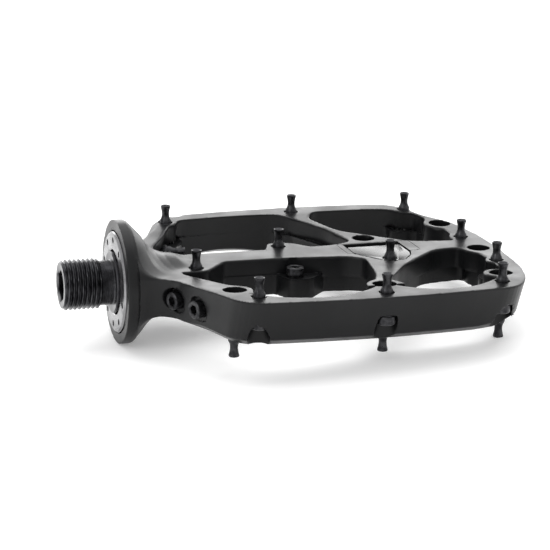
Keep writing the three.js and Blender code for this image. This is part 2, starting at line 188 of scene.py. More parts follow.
class Plan:
    """A table of the signed distance to closed outlines in a plane, negative inside them."""

    def __init__(self, loops, low, high, step=PLAN_STEP):
        self.low, self.step = np.array(low, float), step
        u = np.arange(low[0], high[0] + step, step, dtype=np.float32)[:, None]
        v = np.arange(low[1], high[1] + step, step, dtype=np.float32)[None, :]
        self.table = np.minimum.reduce([self.distance(loop, u, v) for loop in loops])

    @staticmethod
    def distance(loop, u, v):
        nearest = np.full(np.broadcast(u, v).shape, 1e6, np.float32)
        inside = np.zeros(nearest.shape, bool)
        for (au, av), (bu, bv) in zip(loop, np.roll(loop, -1, axis=0)):
            du, dv = bu - au, bv - av
            length = du * du + dv * dv
            if length < 1e-9:
                continue
            t = np.clip(((u - au) * du + (v - av) * dv) / length, 0, 1)
            np.minimum(nearest, (u - au - t * du) ** 2 + (v - av - t * dv) ** 2, out=nearest)
            if av != bv:
                inside ^= ((av <= v) != (bv <= v)) & (u < au + (v - av) / dv * du)
        return np.sqrt(nearest) * np.where(inside, -1, 1)

    def at(self, u, v):
        """The distance at points between the table's nodes."""
        a = np.clip((u - self.low[0]) / self.step, 0, self.table.shape[0] - 1.001)
        b = np.clip((v - self.low[1]) / self.step, 0, self.table.shape[1] - 1.001)
        i, j = a.astype(np.int32), b.astype(np.int32)
        a, b = a - i, b - j
        t = self.table
        left = t[i, j] * (1 - b) + t[i, j + 1] * b
        return left * (1 - a) + (t[i + 1, j] * (1 - b) + t[i + 1, j + 1] * b) * a


def meet(a, b, radius):
    """The part inside both, with its edge rounded off."""
    return np.minimum(np.maximum(a, b), -radius) + np.hypot(
        np.maximum(a + radius, 0), np.maximum(b + radius, 0))


def join(a, b, radius):
    """The part inside either, with a fillet between them."""
    return np.maximum(np.minimum(a, b), radius) - np.hypot(
        np.maximum(radius - a, 0), np.maximum(radius - b, 0))


def smooth(value, start, end):
    t = np.clip((value - start) / (end - start), 0, 1)
    return t * t * (3 - 2 * t)


def face_height(y):
    """Height of the dished tread above the spindle axis."""
    rise = smooth(np.abs(y), DISH_FLAT_Y - DISH_BLEND_Y, DISH_EDGE_Y + DISH_BLEND_Y)
    return CENTRE_FACE_Z + (RAIL_FACE_Z - CENTRE_FACE_Z) * rise


def pin_face(y):
    """Height of the flat-sided dish that the pins of the CAD model stand on."""
    rise = (abs(y) - DISH_FLAT_Y) / (DISH_EDGE_Y - DISH_FLAT_Y)
    return CENTRE_FACE_Z + (RAIL_FACE_Z - CENTRE_FACE_Z) * min(max(rise, 0), 1)


def profile_plan(profile):
    """A table for a turned shape: x against the distance from the axis."""
    points = np.array(profile, float)
    loop = np.vstack([points, (points * (1, -1))[::-1]])
    low, high = loop.min(0) - 4, loop.max(0) + 8
    return Plan([loop], low, high)


class Platform:
    """Signed distance to the forged platform."""

    def __init__(self, pins, spares):
        """pins: x, y of the upper face's pins and whether a boss rings the head.
        spares: foot and direction of the stored pins."""
        near = [(x, -y, ease) for x, y, ease in reversed(HALF_OUTLINE)]
        low, high = (-4, -62), (LENGTH + 4, 62)
        self.outer = Plan([outline(HALF_OUTLINE + near)], low, high)
        self.windows = Plan([outline(window) for window in WINDOWS], low, high)
        self.cover = Plan([outline(COVER_OUTLINE)], (64, -20), (92, 10))
        self.housing = profile_plan(PROFILE_HOUSING)
        self.bore = profile_plan(PROFILE_BORE)
        self.pins, self.spares = pins, spares

    def tread_half(self, x, y, z):
        """The upper half; the lower half is the same one, half a turn about the spindle."""
        lean = y.copy()
        for _ in range(2):
            lean = y + WALL_LEAN * z * smooth(np.abs(lean), LEAN_START_Y, LEAN_FULL_Y)
        outer = self.outer.at(x, lean)
        inner = -self.windows.at(x, lean)
        for px, py, boss in self.pins:
            if boss:
                inner = join(inner, np.hypot(x - px, y + py) - BOSS_R, BOSS_FILLET)
                inner = join(inner, np.hypot(x - px, y - py) - SHANK_BOSS_R, BOSS_FILLET)
        top = z - face_height(y)
        chamfer = RAIL_CHAMFER + (CORNER_CHAMFER - RAIL_CHAMFER) * smooth(x, *CHAMFER_X)
        chamfer *= smooth(y, *CHAMFER_Y)
        half = np.maximum(meet(outer, top, EDGE_R), (outer + top + chamfer) * math.sqrt(0.5))
        half = meet(half, inner, EDGE_R)
        for middle, length in SCOOPS:
            radius = (length ** 2 + SCOOP_DEPTH_Y ** 2) / (2 * SCOOP_DEPTH_Y)
            reach = radius - (RAIL_FACE_Z - z) * SCOOP_SLOPE
            away = np.hypot(x - middle, y - SCOOP_EDGE_Y - radius) - reach
            scoop = np.maximum(away / math.hypot(1, SCOOP_SLOPE), y - SCOOP_END_Y)
            half = meet(half, -scoop, SCOOP_EDGE_R)
        return np.maximum(half, -LEDGE_Z - z)

    def face_cuts(self, x, y, z):
        """What is cut from the upper face, and the pin holes that open in it."""
        recess = np.maximum(self.cover.at(x, y) - COVER_GAP, COVER_LOW_Z - COVER_GAP - z)
        for px, py, _ in self.pins:
            away = np.hypot(x - px, y - py)
            seat = pin_face(py) + PIN_STAND - PIN_LENGTH + COVER_GAP
            head_r = RAIL_COUNTERBORE_R if py < RAIL_PIN_Y else COUNTERBORE_R
            recess = np.minimum(recess, away - PIN_BORE_R)
            recess = np.minimum(recess, np.maximum(away - head_r, z - seat))
        return np.minimum(recess, self.groove(x, y, z))

    @staticmethod
    def groove(x, y, z):
        """A tapering slot beside the far arm's ridge, square at the hub's end."""
        start, end = np.array(GROOVE_START), np.array(GROOVE_END)
        length = np.hypot(*(end - start))
        way = (end - start) / length
        along = (x - start[0]) * way[0] + (y - start[1]) * way[1]
        across = np.abs((x - start[0]) * way[1] - (y - start[1]) * way[0])
        wide, narrow = GROOVE_HALF_WIDTHS
        side = across - (wide + (narrow - wide) * np.clip(along / length, 0, 1))
        ends = np.maximum(-along, along - length)
        return np.maximum(np.maximum(side, ends), np.maximum(GROOVE_Z[0] - z, z - GROOVE_Z[1]))

    def __call__(self, x, y, z):
        shell = np.minimum(self.tread_half(x, y, z), self.tread_half(x, -y, -z))
        round_axis = np.hypot(y, z)
        whole = join(shell, self.housing.at(x, round_axis), HOUSING_FILLET)
        whole = np.maximum(whole, -np.maximum(x - HOUSING_RIM_X, FLANGE_R - round_axis))
        whole = meet(whole, -x, EDGE_R)
        pocket = np.maximum(np.abs(y) - POCKET_Y,
                            np.maximum(POCKET_X[0] - x, x - POCKET_X[1]))
        cuts = np.minimum(self.bore.at(x, round_axis), pocket)
        cuts = np.minimum(cuts, self.face_cuts(x, y, z))
        cuts = np.minimum(cuts, self.face_cuts(x, -y, -z))
        for foot, inward in self.spares:
            dx, dy = x - foot[0], y - foot[1]
            along = dx * inward[0] + dy * inward[1]
            away = np.hypot(dx * inward[1] - dy * inward[0], z)
            bore = np.maximum(away - SPARE_BORE_R, along - SPARE_BORE_DEPTH)
            recess = np.maximum(away - SPARE_RECESS_R, along - SPARE_RECESS_DEPTH)
            hole = np.maximum(np.minimum(bore, recess), -SPARE_CUT_OUT - along)
            cuts = np.minimum(cuts, hole)
        return meet(whole, -cuts, HOLE_EDGE_R)

    def slope(self, points, reach):
        """The direction in which the distance grows, from four nearby values."""
        total = np.zeros(points.shape)
        for corner in ((1, 1, 1), (1, -1, -1), (-1, 1, -1), (-1, -1, 1)):
            step = np.array(corner, float)
            total += step * self(*(points + step * reach).T)[:, None]
        return total / np.maximum(np.linalg.norm(total, axis=1), 1e-9)[:, None]


# ---- surface of a distance --------------------------------------------------------------
OUTSIDE = 5.0         # distance given to the places that aren't looked at
EDGE_REACH = 0.02     # how far from a crossing its tangent plane is felt for
ROUND_REACH = 0.12    # the same for the smooth normal of a vertex
FACE_REACH = 0.08     # and for a normal inside a face
PULL = 0.05           # how firmly a vertex is held to the middle of its crossings
STRAY = 0.6           # how far it may leave that middle, in cells


def sample(distance, axes):
    """Distances on a grid. Away from the flange only the platform's thickness is looked at."""
    values = np.full([len(axis) for axis in axes], OUTSIDE, np.float32)
    thick = RAIL_FACE_Z + RAIL_MARGIN_Z
    for i, x in enumerate(axes[0]):
        rows = slice(None) if x < HOUSING_END_X else np.abs(axes[2]) < thick
        z = axes[2][rows]
        y, z = np.meshgrid(axes[1], z, indexing="ij")
        flat = distance(np.full(y.size, x), y.ravel(), z.ravel())
        values[i][:, rows] = flat.reshape(y.shape)
    return values


def crossings(values, axes, distance):
    """For each grid edge that crosses the surface: the point, its normal, its four cells."""
    origin = np.array([axis[0] for axis in axes])
    step = axes[0][1] - axes[0][0]
    cells = np.array(values.shape)
    found = []
    for way in range(3):
        first = np.moveaxis(values, way, 0)[:-1]
        second = np.moveaxis(values, way, 0)[1:]
        index = np.argwhere((first < 0) != (second < 0))
        a, b = first[tuple(index.T)], second[tuple(index.T)]
        order = [way] + [k for k in range(3) if k != way]
        grid = np.empty_like(index)
        for place, k in enumerate(order):
            grid[:, k] = index[:, place]
        point = origin + grid * step
        part = a / (a - b)
        point[:, way] += part * step
        point[:, way] -= distance(*point.T) * step / (b - a)
        u, v = [k for k in range(3) if k != way]
        around = []
        for du, dv in ((0, 0), (-1, 0), (-1, -1), (0, -1)):
            cell = grid.copy()
            cell[:, u] += du
            cell[:, v] += dv
            around.append(np.ravel_multi_index(cell.T, cells, mode="clip"))
        ring = np.stack(around, axis=1)
        out = (a < 0) if way != 1 else (a >= 0)
        ring[~out] = ring[~out][:, ::-1]
        found.append((point, ring))
    points = np.concatenate([point for point, _ in found])
    rings = np.concatenate([ring for _, ring in found])
    return points, distance.slope(points, EDGE_REACH), rings


def surface(distance, low, high, step):
    """Vertices, quads and normals of the surface where the distance is zero. Each cell's
    vertex is the point nearest to the tangent planes of its crossings, which keeps edges."""
    axes = [np.arange(a, b + step, step) for a, b in zip(low, high)]
    values = sample(distance, axes)
    points, normals, rings = crossings(values, axes, distance)
    cells, quads = np.unique(rings, return_inverse=True)
    quads = quads.reshape(rings.shape)
    count = len(cells)
    owner = quads.ravel()
    spread = np.repeat(np.arange(len(points)), 4)
    number = np.bincount(owner, minlength=count)[:, None]
    middle = np.stack([np.bincount(owner, points[spread, k], count) for k in range(3)], 1)
    middle /= number
    offset = np.einsum("ij,ij->i", normals[spread], points[spread] - middle[owner])
    right = np.stack([np.bincount(owner, normals[spread, k] * offset, count)
                      for k in range(3)], 1)
    matrix = np.empty((count, 3, 3))
    for j in range(3):
        for k in range(3):
            matrix[:, j, k] = np.bincount(
                owner, normals[spread, j] * normals[spread, k], count)
    matrix += np.eye(3) * PULL * number[:, :, None]
    shift = np.linalg.solve(matrix, right[:, :, None])[:, :, 0]
    vertices = middle + np.clip(shift, -STRAY * step, STRAY * step)
    return vertices, quads, distance.slope(vertices, ROUND_REACH)


SHARP_COSINE = 0.88   # a vertex normal further from its face than this is at a sharp edge
ASTRAY_COSINE = 0.5   # a normal further off than this is replaced by the face's own


def corner_normals(mesh, vertices, normals, distance):
    """Normals at the face corners. Where a vertex normal leaves its face, at a sharp edge,
    the normal is taken a little way inside the face instead."""
    owner = np.empty(len(mesh.loops), np.int32)
    mesh.loops.foreach_get("vertex_index", owner)
    sides = np.empty(len(mesh.polygons), np.int32)
    mesh.polygons.foreach_get("loop_total", sides)
    facing = np.empty(3 * len(mesh.polygons), np.float32)
    mesh.polygons.foreach_get("normal", facing)
    face = np.repeat(np.arange(len(sides)), sides)
    facing = facing.reshape(-1, 3)[face]
    middles = np.stack([np.bincount(face, vertices[owner, k]) for k in range(3)], 1)
    middles /= sides[:, None]
    result = normals[owner]
    sharp = np.einsum("ij,ij->i", result, facing) < SHARP_COSINE
    inside = (vertices[owner[sharp]] + middles[face[sharp]]) / 2
    result[sharp] = distance.slope(inside, FACE_REACH)
    astray = np.einsum("ij,ij->i", result, facing) < ASTRAY_COSINE
    result[astray] = facing[astray]
    return result


def body_mesh(distance):
    margin = 2 * BODY_STEP
    low = (-margin - GRID_SHIFT, -BODY_HALF_Y - margin, -FLANGE_R - margin)
    high = (LENGTH + margin, BODY_HALF_Y + margin, FLANGE_R + margin)
    vertices, quads, normals = surface(distance, low, high, BODY_STEP)
    mesh = bpy.data.meshes.new("platform")
    places = np.clip(vertices * MM + np.array(CORNER), BODY_LOW, BODY_HIGH)
    mesh.from_pydata(places.tolist(), [], quads.tolist())
    mesh.validate()
    mesh.shade_smooth()
    mesh.normals_split_custom_set(corner_normals(mesh, vertices, normals, distance).tolist())
    print("platform", len(vertices), "vertices", len(quads), "quads")
    return mesh


# ---- mesh helpers ------------------------------------------------------------------------
ABOUT_SPINDLE = Matrix.Translation(CORNER) @ Matrix.Rotation(math.radians(90), 4, "Y")


def link(name, mesh, place=None):
    """A new object from a mesh, which is first moved into the row frame."""
    if place is not None:
        mesh.transform(place)
    obj = bpy.data.objects.new(name, mesh)
    bpy.context.scene.collection.objects.link(obj)
    return obj


def shade(mesh, sharp_degrees=32):
    mesh.shade_smooth()
    mesh.set_sharp_from_angle(angle=math.radians(sharp_degrees))


def hexagon(across, count):
    """Radii, at even angles, of a hexagon that measures this far over its flats."""
    angle = np.arange(count) * 2 * math.pi / count
    return across / 2 / np.cos(angle % (math.pi / 3) - math.pi / 6)


def lofted(name, sections, count=36, closed=False, sharp_degrees=32):
    """A mesh round +Z through sections given as height and radius, or a radius for each
    angle. A radius of 0 is a point. Heights and radii are in millimetres."""
    bm = bmesh.new()
    turns = np.arange(count) * 2 * math.pi / count
    rings = []
    for height, radius in sections:
        if np.isscalar(radius) and radius == 0:
            rings.append([bm.verts.new((0, 0, height * MM))])
            continue
        radii = np.broadcast_to(radius, count) * MM
        rings.append([bm.verts.new((r * math.cos(a), r * math.sin(a), height * MM))
                      for r, a in zip(radii, turns)])
    pairs = list(zip(rings, rings[1:]))
    if closed:
        pairs.append((rings[-1], rings[0]))
    for low, high in pairs:
        for i in range(count):
            j = (i + 1) % count
            corners = [low[i % len(low)], low[j % len(low)],
                       high[j % len(high)], high[i % len(high)]]
            bm.faces.new(list(dict.fromkeys(corners)))
    bmesh.ops.recalc_face_normals(bm, faces=bm.faces)
    mesh = bpy.data.meshes.new(name)
    bm.to_mesh(mesh)
    bm.free()
    shade(mesh, sharp_degrees)
    return mesh


def settled(obj, sharp_degrees=32):
    """Applies an object's modifiers to its mesh."""
    graph = bpy.context.evaluated_depsgraph_get()
    mesh = bpy.data.meshes.new_from_object(obj.evaluated_get(graph))
    obj.modifiers.clear()
    obj.data = mesh
    shade(mesh, sharp_degrees)
    return obj


def drill(obj, mesh):
    """Cuts a mesh's space out of an object."""
    cutter = link("cutter", mesh)
    cut = obj.modifiers.new("cut", "BOOLEAN")
    cut.operation, cut.solver, cut.object = "DIFFERENCE", "EXACT", cutter
    settled(obj)
    bpy.data.objects.remove(cutter)


def soften(obj, width):
    bevel = obj.modifiers.new("soften", "BEVEL")
    bevel.width, bevel.segments, bevel.limit_method = width * MM, 2, "ANGLE"
    bevel.angle_limit = math.radians(40)
    return settled(obj, 50)


# ---- traction pins -----------------------------------------------------------------------
# Heights are from the tip; the head is at the bottom.
PIN_SIDES = 36
PIN_SOCKET = 2.5
PIN_PROFILE = [
    (-12.3, 0), (-12.3, hexagon(PIN_SOCKET, PIN_SIDES)), (-13.85, hexagon(PIN_SOCKET, PIN_SIDES)),
    (-14.0, 1.62), (-14.0, 2.2), (-13.72, 2.5), (-11.85, 2.55), (-11.6, 2.45), (-11.6, 2.0),
    (-5.7, 2.0), (-5.35, 1.74), (-4.6, 1.7), (-4.25, 1.58), (-3.8, 1.3), (-3.2, 1.14),
    (-2.6, 1.1), (-1.9, 1.14), (-1.2, 1.26), (-0.55, 1.43), (-0.3, 1.47), (-0.08, 1.44),
    (0, 1.34), (-0.08, 1.16), (-0.45, 0.85), (-0.65, 0.5), (-0.7, 0),
]


def pin_placement(node):
    """Where a traction pin's tip is and which way it points, from its CAD node."""
    low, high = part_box(node)
    middle = (low + high) / 2
    if "top" in node:
        return Matrix.Translation((middle.x, middle.y, high.z))
    return Matrix.Translation((middle.x, middle.y, low.z)) @ Matrix.Rotation(math.pi, 4, "X")


def spare_frames():
    """Foot and direction of each stored pin, which goes through an arm from outside."""
    start, end = np.array(ARM_START), np.array(ARM_END)
    arm = (end - start) / np.hypot(*(end - start))
    frames = {}
    for label, side in (("far", 1), ("near", -1)):
        for i, along in enumerate(SPARE_ALONG_ARM):
            foot = (start + arm * along) * (1, side)
            frames[f"spare_pin_{label}_{i + 1}"] = (foot, (arm[1], -arm[0] * side))
    return frames


def spare_placement(foot, inward):
    reach = PIN_LENGTH + PIN_HEAD_H - SPARE_HEAD_PROUD
    tip = to_row(foot[0] + inward[0] * reach, foot[1] + inward[1] * reach, 0)
    turn = Vector((0, 0, 1)).rotation_difference(Vector((*inward, 0)))
    return Matrix.Translation(tip) @ turn.to_matrix().to_4x4()


def make_pins(finish):
    pin_nodes = [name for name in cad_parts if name.startswith("pin_")]
    placements = {name: pin_placement(name) for name in sorted(pin_nodes)}
    for name, spare in spare_frames().items():
        placements[name] = spare_placement(*spare)
    shape = lofted("pin", PIN_PROFILE, PIN_SIDES)
    for name, place in placements.items():
        pin = link(name + "_fine", shape.copy(), place)
        dress(pin, finish, "platform", "black_steel", name)


# ---- spindle and lock ring --------------------------------------------------------------
SPINDLE_SIDES = 72
THREAD_END_X, THREAD_R, THREAD_PITCH = -4.9, 7.145, 1.27
THREAD_DEPTH = 0.72
SPINDLE_SOCKET, SPINDLE_SOCKET_DEPTH = 8.0, 9.0
NECK_R = 6.3
# The spindle from its neck to its threaded stud, as distance from the flange face and radius.
SHAFT_PROFILE = [
    (THREAD_END_X + 0.35, NECK_R), (-1.6, NECK_R), (-1.3, 6.6), (-1.3, 8.4), (-1.0, 8.7),
    (0.1, 8.7), (0.4, 8.4), (0.4, 7.2), (6.6, 7.2), (7.0, 6.6), (9.4, 3.5), (59.8, 3.5),
    (60.1, 2.95), (69.0, 2.95), (69.1, 2.5),
]
STUD_R = 2.5


def thread_sections(start, end):
    """A left-hand thread between two heights, with a bevelled lead."""
    angle = np.arange(SPINDLE_SIDES) / SPINDLE_SIDES
    sections = []
    for x in np.linspace(start, end, int((end - start) / THREAD_PITCH * 12)):
        phase = (x / THREAD_PITCH + angle) % 1
        ridge = np.clip(np.abs(phase - 0.5) * 2.5 - 0.12, 0, 1)
        radius = THREAD_R - THREAD_DEPTH * ridge
        lead = THREAD_R - THREAD_DEPTH + (x - start) * 0.8
        run_out = THREAD_R - THREAD_DEPTH + (end - x) * 1.6
        sections.append((x, np.minimum(radius, min(lead, run_out))))
    return sections


def make_spindle(finish):
    low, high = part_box("spindle")
    start, tail = in_part(low).x, in_part(high).x
    socket = hexagon(SPINDLE_SOCKET, SPINDLE_SIDES)
    depth = start + SPINDLE_SOCKET_DEPTH
    sections = [(depth + 1.2, 0), (depth, socket), (start + 0.35, socket), (start, 4.9)]
    sections += thread_sections(start, THREAD_END_X) + SHAFT_PROFILE
    sections += [(tail - 0.4, STUD_R), (tail, STUD_R - 0.4), (tail, 0)]
    mesh = lofted("spindle_fine", sections, SPINDLE_SIDES)
    dress(link("spindle_fine", mesh, ABOUT_SPINDLE), finish, "spindle", "spindle_steel", "spindle")


RING_BORE_R = 9.2
RING_HOLES, RING_HOLE_R, RING_HOLE_CIRCLE_R = 10, 0.9, 12.1
# A spanner hole's cutter, which starts 1 mm outside the ring, as height and radius.
RING_HOLE_PROFILE = [(-1, 0), (-1, RING_HOLE_R), (1.6, RING_HOLE_R), (1.9, 0)]


def make_lock_ring(finish):
    low, high = (in_part(corner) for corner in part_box("lock_ring"))
    outer, start, end = high.z, low.x, high.x
    sections = [
        (start, RING_BORE_R + 0.3), (start + 0.3, RING_BORE_R), (end, RING_BORE_R),
        (end, outer), (start + 0.55, outer), (start + 0.15, outer - 0.35),
        (start, outer - 0.6),
    ]
    mesh = lofted("lock_ring_fine", sections, 96, closed=True)
    ring = link("lock_ring_fine", mesh, ABOUT_SPINDLE)
    for i in range(RING_HOLES):
        angle = (i + 0.5) / RING_HOLES * 2 * math.pi
        y, z = RING_HOLE_CIRCLE_R * math.cos(angle), RING_HOLE_CIRCLE_R * math.sin(angle)
        hole = lofted("hole", RING_HOLE_PROFILE, 24)
        turn = Matrix.Rotation(math.radians(90), 4, "Y")
        hole.transform(Matrix.Translation(to_row(start, y, z)) @ turn)
        drill(ring, hole)
    dress(ring, finish, "platform", "bright_steel", "lock_ring")


# ---- hatch covers ------------------------------------------------------------------------
COVER_EDGE_R = 0.22
COVER_PIN = "pin_top_11"


def cover_plate(low, high):
    """A mesh of the upper face's cover between two heights of the row frame."""
    bm = bmesh.new()
    loop = [bm.verts.new((*to_row(x, y, 0).xy, low)) for x, y in outline(COVER_OUTLINE, 9)]
    raised = bmesh.ops.extrude_face_region(bm, geom=[bm.faces.new(loop)])["geom"]
    top = [item for item in raised if isinstance(item, bmesh.types.BMVert)]
    bmesh.ops.translate(bm, verts=top, vec=(0, 0, high - low))
    bmesh.ops.recalc_face_normals(bm, faces=bm.faces)
    mesh = bpy.data.meshes.new("hatch_cover_fine")
    bm.to_mesh(mesh)
    bm.free()
    return mesh


def make_covers(finish):
    low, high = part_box("hatch_cover_top")
    pin = sum(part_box(COVER_PIN), Vector()) / 2
    for node, angle in (("hatch_cover_top", 0), ("hatch_cover_bottom", math.pi)):
        cover = link(node + "_fine", cover_plate(low.z, high.z))
        hole = lofted("hole", [(0, 0), (0, PIN_BORE_R), (9, PIN_BORE_R), (9, 0)], 36)
        hole.transform(Matrix.Translation((pin.x, pin.y, AXIS_Z)))
        drill(cover, hole)
        soften(cover, COVER_EDGE_R)
        axis = Matrix.Translation((0, 0, AXIS_Z))
        cover.data.transform(axis @ Matrix.Rotation(angle, 4, "X") @ axis.inverted())
        dress(cover, finish, "platform", "anodised_cover", node)


# ---- materials -----------------------------------------------------------------------------
class Finish:
    """A Principled material with small helpers for its node tree."""

    def __init__(self, name, colour, metallic, roughness, **sockets):
        self.material = bpy.data.materials.new(name)
        self.material.use_nodes = True
        self.tree = self.material.node_tree
        self.shader = self.tree.nodes["Principled BSDF"]
        self.shader.inputs["Base Color"].default_value = (*colour, 1)
        self.shader.inputs["Metallic"].default_value = metallic
        self.shader.inputs["Roughness"].default_value = roughness
        for socket, value in sockets.items():
            self.shader.inputs[socket.replace("_", " ")].default_value = value
        self.place = self.node("ShaderNodeTexCoord").outputs["Object"]

    def node(self, kind, links=(), **values):
        made = self.tree.nodes.new(kind)
        for name, value in values.items():
            if name in made.inputs:
                made.inputs[name].default_value = value
            else:
                setattr(made, name, value)
        for socket, source in links:
            self.tree.links.new(source, made.inputs[socket])
        return made

    def noise(self, scale, detail=3.0, place=None, **values):
        made = self.node("ShaderNodeTexNoise", [("Vector", place or self.place)], Scale=scale,
                         Detail=detail, **values)
        return made.outputs["Fac"]

    def stretched(self, x, y, z):
        made = self.node("ShaderNodeMapping", [("Vector", self.place)])
        made.inputs["Scale"].default_value = (x, y, z)
        return made.outputs["Vector"]

    def ranged(self, source, low, high, start=0.3, end=0.7):
        made = self.node("ShaderNodeMapRange", [(0, source)])
        for place, value in enumerate((start, end, low, high)):
            made.inputs[1 + place].default_value = value
        return made.outputs[0]

    def reckon(self, operation, *values):
        """A maths node on sockets or numbers."""
        made = self.node("ShaderNodeMath", operation=operation)
        for socket, value in enumerate(values):
            if isinstance(value, (int, float)):
                made.inputs[socket].default_value = value
            else:
                self.tree.links.new(value, made.inputs[socket])
        return made.outputs[0]

    def tinted(self, source, dark, light, start=0.35, end=0.65):
        ramp = self.node("ShaderNodeValToRGB", [("Fac", source)])
        first, last = ramp.color_ramp.elements
        first.position, first.color = start, (*dark, 1)
        last.position, last.color = end, (*light, 1)
        self.tree.links.new(ramp.outputs["Color"], self.shader.inputs["Base Color"])

    def rough(self, source):
        self.tree.links.new(source, self.shader.inputs["Roughness"])

    def bumps(self, *heights):
        """Adds bumps, each a height source, a strength and a distance in millimetres."""
        normal = None
        for source, strength, distance in heights:
            bump = self.node("ShaderNodeBump", [("Height", source)], Strength=strength,
                             Distance=distance * MM)
            if normal is not None:
                self.tree.links.new(normal, bump.inputs["Normal"])
            normal = bump.outputs["Normal"]
        self.tree.links.new(normal, self.shader.inputs["Normal"])


ENGRAVING_MIDDLE = (78.5, 0.5)      # rounded frame engraved round the hatch, in millimetres
ENGRAVING_HALF = (11.2, 5.6)
ENGRAVING_EASE = 1.6
ENGRAVING_WIDTH = 0.32
ENGRAVING_DEPTH = 0.3


def engraving(finish):
    """Height of the body where a fine rounded frame is engraved round each hatch. The lower
    face's frame is the upper one turned half round, so y changes sign below the axis."""
    parts = finish.node("ShaderNodeSeparateXYZ", [("Vector", finish.place)]).outputs
    middle = to_row(*ENGRAVING_MIDDLE, 0)
    side = finish.reckon("SIGN", finish.reckon("SUBTRACT", parts["Z"], AXIS_Z))
    across = finish.reckon("SUBTRACT", finish.reckon("MULTIPLY", parts["Y"], side), middle.y)
    along = finish.reckon("SUBTRACT", parts["X"], middle.x)
    over = [finish.reckon("SUBTRACT", finish.reckon("ABSOLUTE", way), (half - ENGRAVING_EASE) * MM)
            for way, half in zip((along, across), ENGRAVING_HALF)]
    beyond = [finish.reckon("MAXIMUM", value, 0.0) for value in over]
    squares = [finish.reckon("MULTIPLY", value, value) for value in beyond]
    rounded = finish.reckon("SQRT", finish.reckon("ADD", *squares))
    inner = finish.reckon("MINIMUM", finish.reckon("MAXIMUM", *over), 0.0)
    distance = finish.reckon("SUBTRACT", finish.reckon("ADD", rounded, inner), ENGRAVING_EASE * MM)
    return finish.ranged(finish.reckon("ABSOLUTE", distance), 0.0, 1.0, 0.0, ENGRAVING_WIDTH * MM)


def anodised(name, dark, light, roughness, engraved=False):
    """Bead-blasted black anodising: a fine grain, faint clouding and a soft sheen."""
    finish = Finish(name, light, 0.0, roughness, IOR=1.3)
    cloud = finish.noise(45, 4)
    finish.tinted(cloud, dark, light)
    grain = finish.noise(3200, 2)
    handled = finish.ranged(finish.noise(120, 5), roughness - 0.05, roughness + 0.07)
    finish.rough(handled)
    heights = [(grain, 0.16, 0.06), (finish.noise(900, 3), 0.06, 0.12)]
    if engraved:
        heights.append((engraving(finish), 1.0, ENGRAVING_DEPTH))
    finish.bumps(*heights)
    return finish.material


def black_oxide():
    finish = Finish("black_oxide_steel", (0.03, 0.03, 0.032), 0.85, 0.32)
    finish.tinted(finish.noise(700, 4), (0.016, 0.016, 0.018), (0.05, 0.05, 0.053))
    finish.rough(finish.ranged(finish.noise(1500, 4), 0.24, 0.44))
    finish.bumps((finish.noise(4000, 2), 0.12, 0.05))
    return finish.material


def turned_steel(name, dark, light, roughness):
    """Steel with fine tool marks round the spindle axis."""
    finish = Finish(name, light, 1.0, roughness)
    finish.tinted(finish.noise(300, 5), dark, light)
    marks = finish.noise(1, 3, finish.stretched(9000, 60, 60))
    finish.rough(finish.ranged(marks, roughness - 0.08, roughness + 0.12))
    finish.bumps((marks, 0.25, 0.03), (finish.noise(2500, 2), 0.08, 0.04))
    return finish.material


def faced_steel(name, dark, light, roughness):
    """Steel faced on a lathe: fine rings about the spindle axis and a soft polish."""
    finish = Finish(name, light, 1.0, roughness)
    finish.tinted(finish.noise(260, 5), dark, light)
    centred = finish.node("ShaderNodeMapping", [("Vector", finish.place)])
    centred.inputs["Location"].default_value = (0, 0, -AXIS_Z)
    centred.inputs["Scale"].default_value = (0, 1, 1)
    from_axis = finish.node("ShaderNodeVectorMath", [(0, centred.outputs["Vector"])],
                            operation="LENGTH")
    rings = finish.node("ShaderNodeTexNoise", [("W", from_axis.outputs["Value"])],
                        noise_dimensions="1D", Scale=5200, Detail=3)
    marks = rings.outputs["Fac"]
    finish.rough(finish.ranged(marks, roughness - 0.08, roughness + 0.14))
    finish.bumps((marks, 0.3, 0.03), (finish.noise(1800, 3), 0.06, 0.05))
    return finish.material


def seal_rubber():
    finish = Finish("seal_rubber", (0.014, 0.014, 0.014), 0.0, 0.7)
    finish.tinted(finish.noise(500, 4), (0.009, 0.009, 0.009), (0.022, 0.022, 0.022))
    finish.rough(finish.ranged(finish.noise(900, 3), 0.6, 0.82))
    finish.bumps((finish.noise(2600, 3), 0.3, 0.06))
    return finish.material


def sintered_bronze():
    finish = Finish("sintered_bronze", (0.45, 0.28, 0.13), 1.0, 0.42)
    finish.tinted(finish.noise(1400, 5), (0.26, 0.15, 0.07), (0.5, 0.32, 0.15))
    pores = finish.noise(5200, 2)
    finish.rough(finish.ranged(pores, 0.34, 0.6))
    finish.bumps((pores, 0.4, 0.05))
    return finish.material


def dress(piece, material, body, slot, *nodes):
    """Gives a new piece its material and body, and hides the CAD nodes that it stands for; the
    slot is not used.
    """
    piece.data.materials.clear()
    piece.data.materials.append(material)
    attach(piece, body)
    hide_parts(*nodes)


def repaint(material, *nodes):
    """Gives kept CAD nodes a material."""
    for name in nodes:
        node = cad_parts[name]
        for slot in node.material_slots:
            slot.link = "OBJECT"
            slot.material = material
        if not node.material_slots:
            node.data.materials.append(material)


# ---- stage ---------------------------------------------------------------------------------
def contact_plane():
    """A point and the normal of the surface that the pedal lies on. It rests on the
    flange's rim and on the two outboard corner pins of the lower face."""
    rim = to_row(1.3, 0, -FLANGE_R)
    tips = []
    for name in ("pin_bottom_03", "pin_bottom_08"):
        low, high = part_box(name)
        tips.append(Vector(((low.x + high.x) / 2, (low.y + high.y) / 2, low.z)))
    normal = (tips[0] - rim).cross(tips[1] - rim).normalized()
    return rim, normal if normal.z > 0 else -normal


